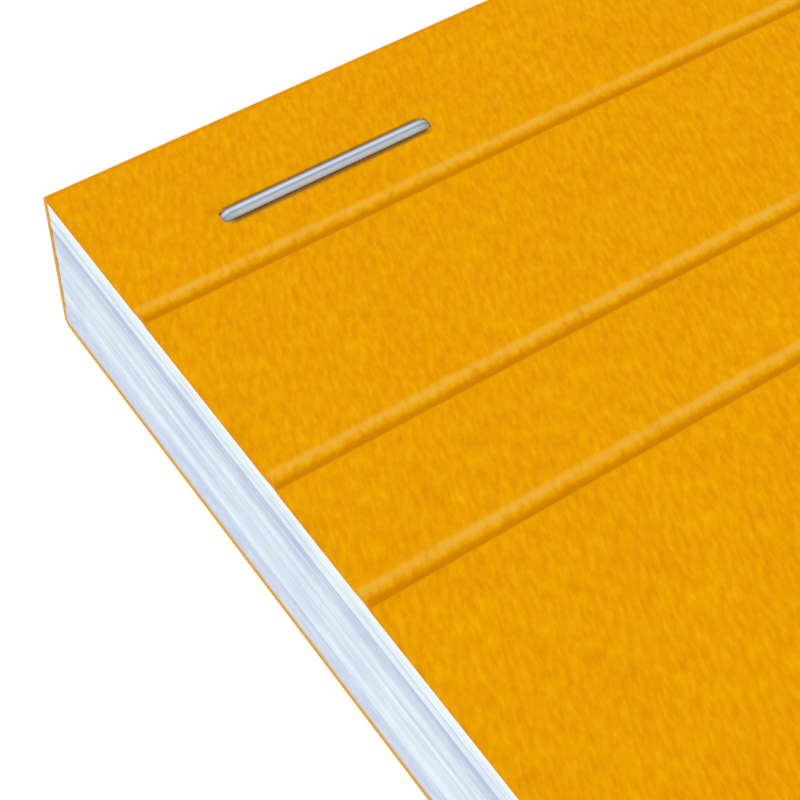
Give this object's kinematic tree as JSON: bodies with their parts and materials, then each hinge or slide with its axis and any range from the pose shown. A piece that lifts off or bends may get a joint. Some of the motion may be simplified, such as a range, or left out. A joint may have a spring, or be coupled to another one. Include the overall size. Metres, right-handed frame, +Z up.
{
  "type": "legal pad",
  "caption": "Head-stapled writing pad: a block of sheets on a stiff board, in one card cover creased to fold back over the head.",
  "frame": {"origin": "middle of the pad's underside, on the back cover's outer face", "axes": "+X across the sheets to the reader's right, +Y towards the stapled head, +Z up through the front cover"},
  "size_m": [0.21, 0.318, 0.0103],
  "materials": {
    "cover_card": "matte",
    "sheets": "matte",
    "board": "matte",
    "wire": "satin"
  },
  "bodies": {
    "pad_body": {"cover_wrap": "cover_card", "paper_block": "sheets", "backing_board": "board", "staples": "wire"},
    "upper_band": {"cover_band_upper": "cover_card"},
    "lower_band": {"cover_band_lower": "cover_card"},
    "front_flap": {"front_cover": "cover_card"}
  },
  "joints": [
    {"name": "upper_crease", "type": "hinge", "parent": "pad_body", "child": "upper_band", "pos_m": [0, 0.14915, 0.01018], "axis": [-1, 0, 0], "range_deg": [0, 180]},
    {"name": "middle_crease", "type": "hinge", "parent": "upper_band", "child": "lower_band", "pos_m": [0, 0.1373, 0.01018], "axis": [-1, 0, 0], "range_deg": [0, 75]},
    {"name": "lower_crease", "type": "hinge", "parent": "lower_band", "child": "front_flap", "pos_m": [0, 0.1298, 0.01018], "axis": [-1, 0, 0], "range_deg": [0, 65]}
  ]
}
